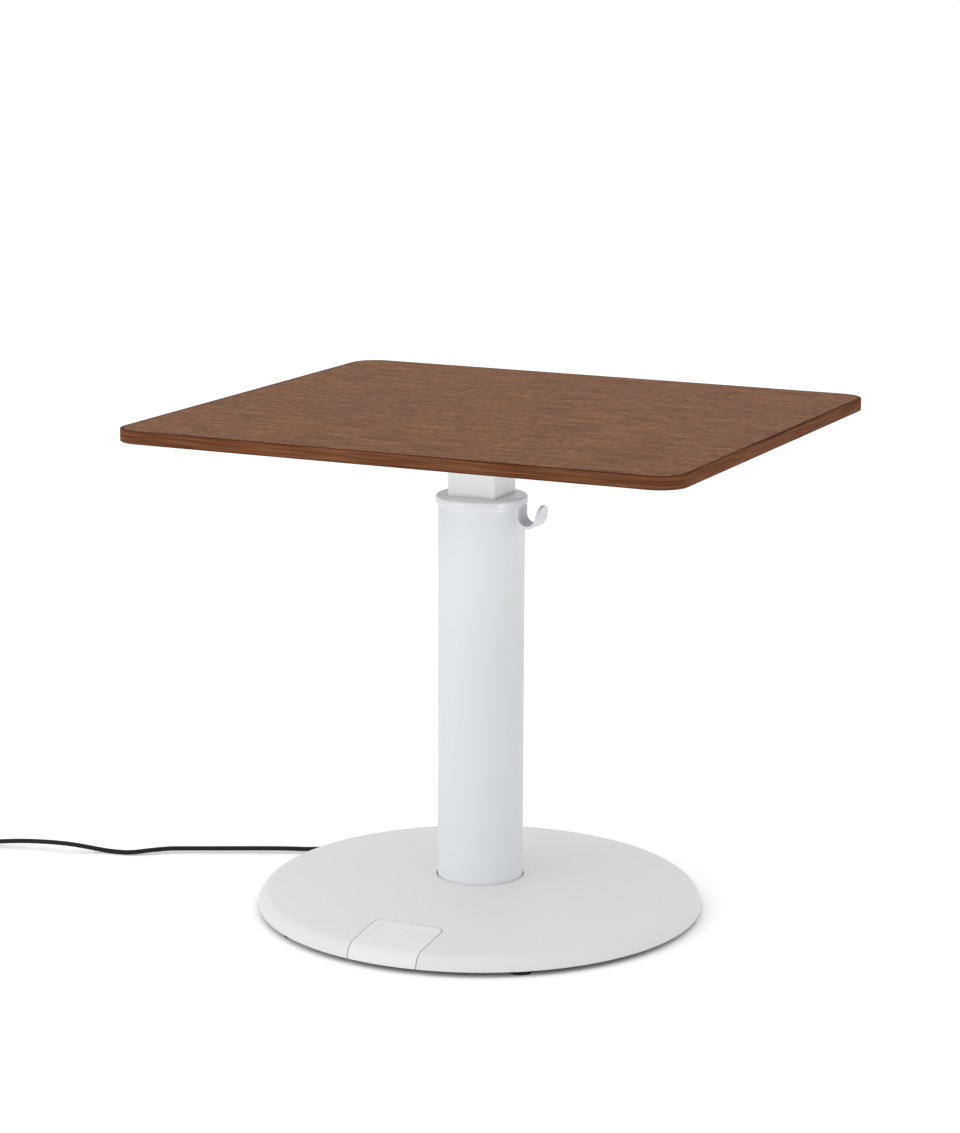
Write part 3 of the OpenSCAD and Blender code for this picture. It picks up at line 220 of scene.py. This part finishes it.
def moulded(name, colour, roughness, texture_mm=0.6, depth_mm=0.02, shine=0.25):
    """Injection-moulded plastic: an even satin, from the spark-eroded texture of its mould."""
    material, tree, shader = new_material(name, Base_Color=colour, Roughness=roughness, IOR=1.53,
                                          Specular_IOR_Level=shine)
    # Real texture is about 0.1 mm from pit to pit: drawn coarser here, so that it shows
    size = (texture_mm, texture_mm, texture_mm)
    emboss(tree, shader, grain(tree, size, detail=1), depth_mm=depth_mm, strength=0.6)
    return material


def machined(name, colour, roughness, streak_mm=(0.4, 0.4, 30.0)):
    """Bare metal: the fine lines of its turning or drawing spread its reflections."""
    material, tree, shader = new_material(name, Base_Color=colour, Metallic=1.0)
    # Real tool marks are about 0.05 mm wide: drawn coarser here, so that they show
    lines = grain(tree, streak_mm, detail=2)
    spread = add_node(tree, "ShaderNodeMapRange", {
        "Value": lines, "To Min": roughness - 0.08, "To Max": roughness + 0.1,
    })
    tree.links.new(spread.outputs["Result"], shader.inputs["Roughness"])
    emboss(tree, shader, lines, depth_mm=0.01, strength=0.5)
    return material


def zinc_plate():
    """Zinc-plated steel: pale, cool, with soft clouds a few millimetres across."""
    material, tree, shader = new_material("zinc_plate", Metallic=1.0, Roughness=0.38)
    tone = add_node(tree, "ShaderNodeValToRGB", {"Fac": grain(tree, (6, 6, 6), detail=3)},
                    stops=[(0.3, srgb("#A9ACB0")), (0.7, srgb("#C9CBCD"))])
    tree.links.new(tone.outputs["Color"], shader.inputs["Base Color"])
    return material


def cord_jacket():
    """Extruded black PVC: smooth, soft in gloss, a little dusty."""
    material, tree, shader = new_material("pvc_jacket", Roughness=0.6, IOR=1.54,
                                          Specular_IOR_Level=0.2)
    tone = add_node(tree, "ShaderNodeValToRGB", {"Fac": grain(tree, (4, 4, 4), detail=2)},
                    stops=[(0.3, srgb("#141415")), (0.8, srgb("#1E1E20"))])
    tree.links.new(tone.outputs["Color"], shader.inputs["Base Color"])
    return material


def loop_strap():
    """Woven hook-and-loop strap: short nylon loops 1 mm apart, with no gloss."""
    material, tree, shader = new_material("loop_strap", Base_Color=srgb("#1E1F21"), Roughness=0.95,
                                          Sheen_Weight=0.3)
    emboss(tree, shader, grain(tree, (1, 1, 1), detail=2), depth_mm=0.4)
    return material


def circuit_board():
    """Glass-fibre board under green solder resist, with its weave just showing."""
    material, tree, shader = new_material("solder_resist", Base_Color=srgb("#1F5B37"), Roughness=0.3)
    emboss(tree, shader, grain(tree, (0.8, 0.8, 0.8)), depth_mm=0.02)
    return material


# Sizes and colours that a user would change

class DeskWood(bpy.types.PropertyGroup):
    """Colours of the worktop."""
    veneer_light: bpy.props.FloatVectorProperty(
        name="Veneer, light", description="Palest tone of the face veneer",
        default=srgb("#A37350"), size=4, min=0, max=1, subtype="COLOR")
    veneer_dark: bpy.props.FloatVectorProperty(
        name="Veneer, dark", description="Darkest broad tone of the face veneer",
        default=srgb("#966747"), size=4, min=0, max=1, subtype="COLOR")
    lipping_light: bpy.props.FloatVectorProperty(
        name="Lipping, light", description="Palest tone of the solid edge",
        default=srgb("#85583D"), size=4, min=0, max=1, subtype="COLOR")
    lipping_dark: bpy.props.FloatVectorProperty(
        name="Lipping, dark", description="Darkest tone of the solid edge",
        default=srgb("#71472E"), size=4, min=0, max=1, subtype="COLOR")


class DeskPaint(bpy.types.PropertyGroup):
    """Colours of the white parts."""
    column: bpy.props.FloatVectorProperty(
        name="Sleeve", description="Powder coat of the sleeve",
        default=srgb("#E4E7E9"), size=4, min=0, max=1, subtype="COLOR")
    # The inner column's coat is paler than the sleeve's to make up for the worktop's shade on it:
    # painted light
    inner: bpy.props.FloatVectorProperty(
        name="Inner column", description="Powder coat of the inner column",
        default=srgb("#EFF0EE"), size=4, min=0, max=1, subtype="COLOR")
    collar: bpy.props.FloatVectorProperty(
        name="Collar", description="Moulded collar and powder coat of the hook under it",
        default=srgb("#E4E5E9"), size=4, min=0, max=1, subtype="COLOR")
    cover: bpy.props.FloatVectorProperty(
        name="Base cover", description="Moulded cover of the base",
        default=srgb("#E8E8EA"), size=4, min=0, max=1, subtype="COLOR")
    pedal: bpy.props.FloatVectorProperty(
        name="Pedal", description="Moulded pedal, a shade off the cover",
        default=srgb("#EDEEEE"), size=4, min=0, max=1, subtype="COLOR")


class DeskCord(bpy.types.PropertyGroup):
    """Sizes of the power cord."""
    diameter: bpy.props.FloatProperty(
        name="Diameter", description="Diameter of the cord's jacket",
        default=0.007, min=0.005, max=0.01, subtype="DISTANCE", unit="LENGTH")
    steps: bpy.props.IntProperty(
        name="Steps", description="Points on the smooth curve between two points of the route",
        default=4, min=2, max=8)


class DeskStudio(bpy.types.PropertyGroup):
    """Camera and light."""
    focal_length: bpy.props.FloatProperty(
        name="Focal length", description="Lens of the camera, on a sensor 36 mm high",
        default=99.97, min=20, max=300, subtype="DISTANCE_CAMERA", unit="CAMERA")
    azimuth: bpy.props.FloatProperty(
        name="Azimuth", description="Turn of the view from straight ahead, to the left",
        default=math.radians(25.195), subtype="ANGLE", unit="ROTATION")
    tilt: bpy.props.FloatProperty(
        name="Tilt", description="Tilt of the view below the horizon",
        default=math.radians(11.971), subtype="ANGLE", unit="ROTATION")
    roll: bpy.props.FloatProperty(
        name="Roll", description="Roll of the camera",
        default=math.radians(0.247), subtype="ANGLE", unit="ROTATION")
    place: bpy.props.FloatVectorProperty(
        name="Place", description="Place of the camera from the foot of the column's axis",
        default=(1.8730, -3.9861, 1.4396), size=3, subtype="XYZ", unit="LENGTH")
    sky: bpy.props.FloatProperty(
        name="Sky", description="Strength of the even light from all round",
        default=0.87, min=0, max=3)
    key: bpy.props.FloatProperty(
        name="Key", description="Power of the large soft lamp at the front left",
        default=26.0, min=0, max=2000, unit="POWER")
    left_spot: bpy.props.FloatProperty(
        name="Left spot", description="Power of the low spot on the collar from the front left",
        default=60.0, min=0, max=2000, unit="POWER")
    right_spot: bpy.props.FloatProperty(
        name="Right spot", description="Power of the low spot on the collar from the right",
        default=100.0, min=0, max=2000, unit="POWER")


# Cord

# Route from the strain relief to the coil, in metres from the foot of the column's axis: along
# the floor behind the base, over a low arch, and down to the coil past the picture's left edge
ROUTE = [
    (-0.240, 0.160, 0.0048), (-0.262, 0.160, 0.0046), (-0.278, 0.156, 0.0047),
    (-0.298, 0.146, 0.0051), (-0.322, 0.130, 0.0056), (-0.348, 0.114, 0.006),
    (-0.377, 0.1015, 0.0064), (-0.403, 0.0895, 0.0065), (-0.4285, 0.077, 0.0065),
    (-0.463, 0.060, 0.0065), (-0.4975, 0.043, 0.0065), (-0.520, 0.032, 0.0065),
    (-0.540, 0.021, 0.0065), (-0.562, 0.0025, 0.006), (-0.580, -0.011, 0.0046),
    (-0.597, -0.0175, 0.0037), (-0.620, -0.021, 0.0036), (-0.637, -0.0255, 0.0054),
    (-0.653, -0.033, 0.0088), (-0.671, -0.041, 0.0122), (-0.691, -0.0455, 0.0133),
    (-0.711, -0.0487, 0.0132), (-0.732, -0.0515, 0.0123), (-0.753, -0.055, 0.0111),
    (-0.773, -0.060, 0.0097), (-0.792, -0.0665, 0.0082), (-0.815, -0.076, 0.0061),
    (-0.836, -0.087, 0.0046), (-0.850, -0.0945, 0.0041),
]
# Direction of the cord where it reaches the coil
CORD_HEADING = math.radians(208)
COIL_TURNS = 7.267
# Radius of the outermost turn, and the gap from turn to turn
COIL_RADIUS = 55.5 * MM
COIL_SPARE = 0.5 * MM
# Points to a turn
COIL_POINTS = 32
# From the last turn to the plug
COIL_TAIL = 28 * MM
# Points added to each half of the cord's round section
ROUNDNESS = 5


def turn_to(angle):
    """Unit vector on the floor in a direction."""
    return Vector((math.cos(angle), math.sin(angle), 0))


def between(a, b, c, d, t):
    """Point at t, from 0 to 1, on the smooth curve from b to c."""
    return 0.5 * (2 * b + (c - a) * t + (2 * a - 5 * b + 4 * c - d) * t ** 2
                  + (3 * b - a - 3 * c + d) * t ** 3)


def smooth_route(points, steps):
    """Points of the smooth curve through the given ones."""
    last = len(points) - 1
    curve = []
    for i in range(last):
        four = [Vector(points[min(max(i + k, 0), last)]) for k in (-1, 0, 1, 2)]
        curve += [between(*four, s / steps) for s in range(steps)]
    return curve + [Vector(points[last])]


def coil_route(diameter):
    """Two layers of turns, in along the floor and out again on top, and the tail to the plug."""
    pitch = diameter + COIL_SPARE
    inner = COIL_RADIUS - pitch * COIL_TURNS / 2
    first = CORD_HEADING - math.pi / 2
    start = Vector(ROUTE[-1])
    centre = start + diameter * turn_to(CORD_HEADING) + COIL_RADIUS * turn_to(first + math.pi)
    steps = math.ceil(COIL_TURNS * COIL_POINTS)
    points = []
    for i in range(steps + 1):
        turn = COIL_TURNS * i / steps
        off = turn - COIL_TURNS / 2
        layer = max(0, min(1, 2 * off + 0.5))
        out = (inner + pitch * abs(off)) * turn_to(first + 2 * math.pi * turn)
        points.append(centre + out + Vector((0, 0, pitch * layer)))
    away = turn_to(first + 2 * math.pi * COIL_TURNS + math.pi / 2)
    return points + [points[-1] + (COIL_TAIL - diameter) * away, points[-1] + COIL_TAIL * away]


def tube_curve(name, points, diameter):
    """Open curve through the points with a round section and closed ends."""
    curve = bpy.data.curves.new(name, "CURVE")
    curve.dimensions = "3D"
    curve.bevel_depth = diameter / 2
    curve.bevel_resolution = ROUNDNESS
    curve.use_fill_caps = True
    spline = curve.splines.new("POLY")
    spline.points.add(len(points) - 1)
    for place, point in zip(spline.points, points):
        place.co = (*point, 1)
    tube = bpy.data.objects.new(name, curve)
    bpy.context.scene.collection.objects.link(tube)
    return tube


class DESK_OT_cord(bpy.types.Operator):
    """Lays the power cord along the floor to its coil and plug"""
    bl_idname = "desk.cord"
    bl_label = "Power cord"

    def execute(self, context):
        cord = context.scene.desk_cord
        foot = Vector((AXIS.x, AXIS.y, 0))
        route = smooth_route(ROUTE, cord.steps) + coil_route(cord.diameter)
        points = [foot + point for point in route]
        lead = tube_curve("power_lead", points, cord.diameter)
        lead.data.materials.append(cord_jacket())
        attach(lead, "base")
        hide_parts("power_cord", "cord_coil")
        return {"FINISHED"}


# Camera and stage

SENSOR_MM = 36
# How far the camera sees
SIGHT = 500
# The paper's own white, and the overexposed white that the camera sees
PAPER = (0.92, 0.92, 0.92, 1.0)
PAPER_SEEN = (1.25, 1.25, 1.25, 1.0)
# Half the floor's side: the camera never sees its edge
FLOOR_HALF = 150
# The key lamp is a large panel at the front left
KEY_PLACE = (-1.9, -3.3, 1.5)
KEY_AIM = (0, -0.05, 0.35)
KEY_SIZE = 2.6
# Two spots stand low and shine up under the worktop's edge, on the column's bare stretch
LEFT_SPOT_PLACE = (-1.6, -2.6, 0.35)
RIGHT_SPOT_PLACE = (2.6, -0.8, 0.35)
SPOT_AIM = (AXIS.x, AXIS.y, 0.67)
SPOT_CONE = math.radians(7.5)
SPOT_RADIUS = 0.2


class DESK_OT_camera(bpy.types.Operator):
    """Puts the camera where the photograph was taken from"""
    bl_idname = "desk.camera"
    bl_label = "Camera"

    def execute(self, context):
        studio = context.scene.desk_studio
        turn = -studio.azimuth
        flat = math.cos(studio.tilt)
        ahead = Vector((math.sin(turn) * flat, math.cos(turn) * flat, -math.sin(studio.tilt)))
        level = Vector((math.cos(turn), -math.sin(turn), 0))
        upright = level.cross(ahead)
        right = math.cos(studio.roll) * level + math.sin(studio.roll) * upright
        up = math.cos(studio.roll) * upright - math.sin(studio.roll) * level
        camera = bpy.data.objects.new("camera", bpy.data.cameras.new("camera"))
        camera.data.lens = studio.focal_length
        camera.data.sensor_width = SENSOR_MM
        camera.data.clip_end = SIGHT
        camera.rotation_mode = "QUATERNION"
        camera.rotation_quaternion = Matrix((right, up, -ahead)).transposed().to_quaternion()
        camera.location = Vector((AXIS.x, AXIS.y, 0)) + Vector(studio.place)
        context.scene.collection.objects.link(camera)
        context.scene.camera = camera
        return {"FINISHED"}


def seen_rays(tree):
    """1 on rays from the camera, off gloss or through glass, and 0 on all others."""
    path = add_node(tree, "ShaderNodeLightPath")
    seen = path.outputs["Is Camera Ray"]
    for ray in ("Is Glossy Ray", "Is Transmission Ray"):
        seen = add_node(tree, "ShaderNodeMath", {0: seen, 1: path.outputs[ray]},
                        operation="MAXIMUM").outputs["Value"]
    return seen


def white_paper():
    """Matt white paper floor, so bright to the camera that only deep shadows show on it."""
    material, tree, shader = new_material("white_paper", Roughness=0.9, Specular_IOR_Level=0.0)
    tone = add_node(tree, "ShaderNodeMix", {
        "Factor": seen_rays(tree), "A": PAPER, "B": PAPER_SEEN,
    }, data_type="RGBA")
    tree.links.new(tone.outputs["Result"], shader.inputs["Base Color"])
    return material


def white_world(strength):
    """Even light from all round, which the camera sees as white."""
    world = bpy.data.worlds.new("white_world")
    world.use_nodes = True
    tree = world.node_tree
    back = tree.nodes["Background"]
    back.inputs["Color"].default_value = (1, 1, 1, 1)
    level = add_node(tree, "ShaderNodeMapRange", {
        "Value": seen_rays(tree), "To Min": strength, "To Max": 1.0,
    })
    tree.links.new(level.outputs["Result"], back.inputs["Strength"])
    return world


def put_lamp(kind, name, place, aim, power):
    """Lamp of a kind at a place, turned to a point."""
    lamp = bpy.data.lights.new(name, kind)
    lamp.energy = power
    holder = bpy.data.objects.new(name, lamp)
    holder.location = place
    holder.rotation_mode = "QUATERNION"
    holder.rotation_quaternion = (Vector(aim) - Vector(place)).to_track_quat("-Z", "Y")
    bpy.context.scene.collection.objects.link(holder)
    return lamp


def put_spot(name, place, power):
    """Narrow soft spot on the column's bare stretch, which the worktop shades from the sky."""
    spot = put_lamp("SPOT", name, place, SPOT_AIM, power)
    spot.spot_size = SPOT_CONE
    spot.spot_blend = 1.0
    spot.shadow_soft_size = SPOT_RADIUS


class DESK_OT_stage(bpy.types.Operator):
    """Makes the plain white floor and the soft studio light"""
    bl_idname = "desk.stage"
    bl_label = "Stage and light"

    def execute(self, context):
        studio = context.scene.desk_studio
        mesh = bpy.data.meshes.new("floor")
        corners = [(x * FLOOR_HALF, y * FLOOR_HALF, 0) for x, y in ((-1, -1), (1, -1), (1, 1), (-1, 1))]
        mesh.from_pydata(corners, [], [(0, 1, 2, 3)])
        mesh.materials.append(white_paper())
        floor = bpy.data.objects.new("floor", mesh)
        context.scene.collection.objects.link(floor)
        context.scene.world = white_world(studio.sky)
        key = put_lamp("AREA", "key_lamp", KEY_PLACE, KEY_AIM, studio.key)
        key.size = KEY_SIZE
        put_spot("left_spot", LEFT_SPOT_PLACE, studio.left_spot)
        put_spot("right_spot", RIGHT_SPOT_PLACE, studio.right_spot)
        context.scene.view_settings.view_transform = "Standard"
        return {"FINISHED"}


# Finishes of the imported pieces

class DESK_OT_worktop(bpy.types.Operator):
    """Gives the worktop its veneer, laminate, lipping and core"""
    bl_idname = "desk.worktop"
    bl_label = "Worktop"

    def execute(self, context):
        dress(walnut_veneer(), "top_veneer")
        dress(balancing_laminate(), "under_laminate")
        dress(walnut_lipping(), "edge_lipping")
        dress(chipboard(), "worktop_core")
        return {"FINISHED"}


class DESK_OT_frame(bpy.types.Operator):
    """Gives the rails, the plates and all the fixings their finishes"""
    bl_idname = "desk.frame"
    bl_label = "Frame and fixings"

    def execute(self, context):
        dress(powder_coat("dark_powder_coat", srgb("#2B2B2D")), "worktop_rails", "bearer_plate",
              "nut_carrier")
        dress(zinc_plate(), "rail_screws", "rail_bolts", "rail_nuts", "head_bolts", "head_nuts",
              "guide_screws", "motor_plate_screws", "flange_bolts", "cover_screws",
              "bracket_screws", "box_screws", "inlet_screws", "guide_seat", "motor_plate",
              "pedal_brackets")
        return {"FINISHED"}


class DESK_OT_column(bpy.types.Operator):
    """Gives the column, its collar, hook and guides their finishes"""
    bl_idname = "desk.column"
    bl_label = "Column"

    def execute(self, context):
        paint = context.scene.desk_paint
        dress(powder_coat("white_powder_coat", paint.column), "outer_sleeve", "foot_flange")
        # The inner column and head plate get a paler coat than the sleeve: painted light against the
        # worktop's shade
        dress(powder_coat("inner_coat_painted_paler", paint.inner), "inner_column", "head_plate")
        dress(powder_coat("hook_powder_coat", paint.collar), "bag_hook")
        dress(moulded("white_moulding", paint.collar, 0.25, shine=0.5), "collar")
        dress(moulded("natural_acetal", srgb("#E9E6DA"), 0.35), "top_guide", "bottom_guide")
        return {"FINISHED"}


class DESK_OT_drive(bpy.types.Operator):
    """Gives the motor, gearbox, spindle and nut their finishes"""
    bl_idname = "desk.drive"
    bl_label = "Drive"

    def execute(self, context):
        dress(machined("turned_steel", srgb("#B9BABB"), 0.3), "spindle", "spindle_stop",
              "thrust_bearing", "motor", "pedal_pin", "rear_spring", "front_spring")
        dress(machined("turned_bronze", srgb("#B98C52"), 0.32), "spindle_nut")
        dress(machined("cast_aluminium", srgb("#B4B6B8"), 0.5, (2, 2, 2)), "gearbox")
        return {"FINISHED"}


class DESK_OT_base(bpy.types.Operator):
    """Gives the base, the pedal and the glides their finishes"""
    bl_idname = "desk.base"
    bl_label = "Base and pedal"

    def execute(self, context):
        paint = context.scene.desk_paint
        dress(moulded("cover_moulding", paint.cover, 0.48), "base_cover")
        dress(moulded("pedal_moulding", paint.pedal, 0.48), "pedal")
        dress(powder_coat("black_primer", srgb("#161617"), 0.6), "ballast_plate")
        dress(moulded("black_glide", srgb("#141414"), 0.4), "glide_pads")
        return {"FINISHED"}


class DESK_OT_electrics(bpy.types.Operator):
    """Gives the electric parts, the plug and the tie their finishes"""
    bl_idname = "desk.electrics"
    bl_label = "Electrics"

    def execute(self, context):
        dress(moulded("black_moulding", srgb("#1A1A1B"), 0.5, 1.0, 0.04), "control_box",
              "pedal_switches", "inlet_block")
        dress(cord_jacket(), "motor_cable", "pedal_cable", "supply_cable", "strain_relief",
              "plug_body")
        dress(circuit_board(), "switch_board")
        dress(machined("drawn_brass", srgb("#C9AE6B"), 0.28), "plug_pins")
        dress(loop_strap(), "cord_tie")
        return {"FINISHED"}


OPERATORS = (
    DESK_OT_camera, DESK_OT_cord, DESK_OT_stage, DESK_OT_worktop, DESK_OT_frame, DESK_OT_column,
    DESK_OT_drive, DESK_OT_base, DESK_OT_electrics,
)
GROUPS = {
    "desk_wood": DeskWood, "desk_paint": DeskPaint, "desk_cord": DeskCord,
    "desk_studio": DeskStudio,
}


class DESK_PT_panel(bpy.types.Panel):
    """Settings and steps of the desk"""
    bl_idname = "DESK_PT_panel"
    bl_label = "Pedestal desk"
    bl_space_type = "VIEW_3D"
    bl_region_type = "UI"
    bl_category = "Desk"

    def draw(self, context):
        for name, group in GROUPS.items():
            box = self.layout.box()
            for prop in group.__annotations__:
                box.prop(getattr(context.scene, name), prop)
        for operator in OPERATORS:
            self.layout.operator(operator.bl_idname)


CLASSES = (*GROUPS.values(), *OPERATORS, DESK_PT_panel)


def register():
    """Adds the classes, and the settings of each group to the scene."""
    for kind in CLASSES:
        bpy.utils.register_class(kind)
    for name, group in GROUPS.items():
        setattr(bpy.types.Scene, name, bpy.props.PointerProperty(type=group))


def unregister():
    """Takes the settings and the classes away again."""
    for name in GROUPS:
        delattr(bpy.types.Scene, name)
    for kind in reversed(CLASSES):
        bpy.utils.unregister_class(kind)


def main():
    """Runs every step in order."""
    register()
    bpy.ops.desk.camera()
    bpy.ops.desk.cord()
    bpy.ops.desk.stage()
    bpy.ops.desk.worktop()
    bpy.ops.desk.frame()
    bpy.ops.desk.column()
    bpy.ops.desk.drive()
    bpy.ops.desk.base()
    bpy.ops.desk.electrics()


if __name__ == "__main__":
    main()
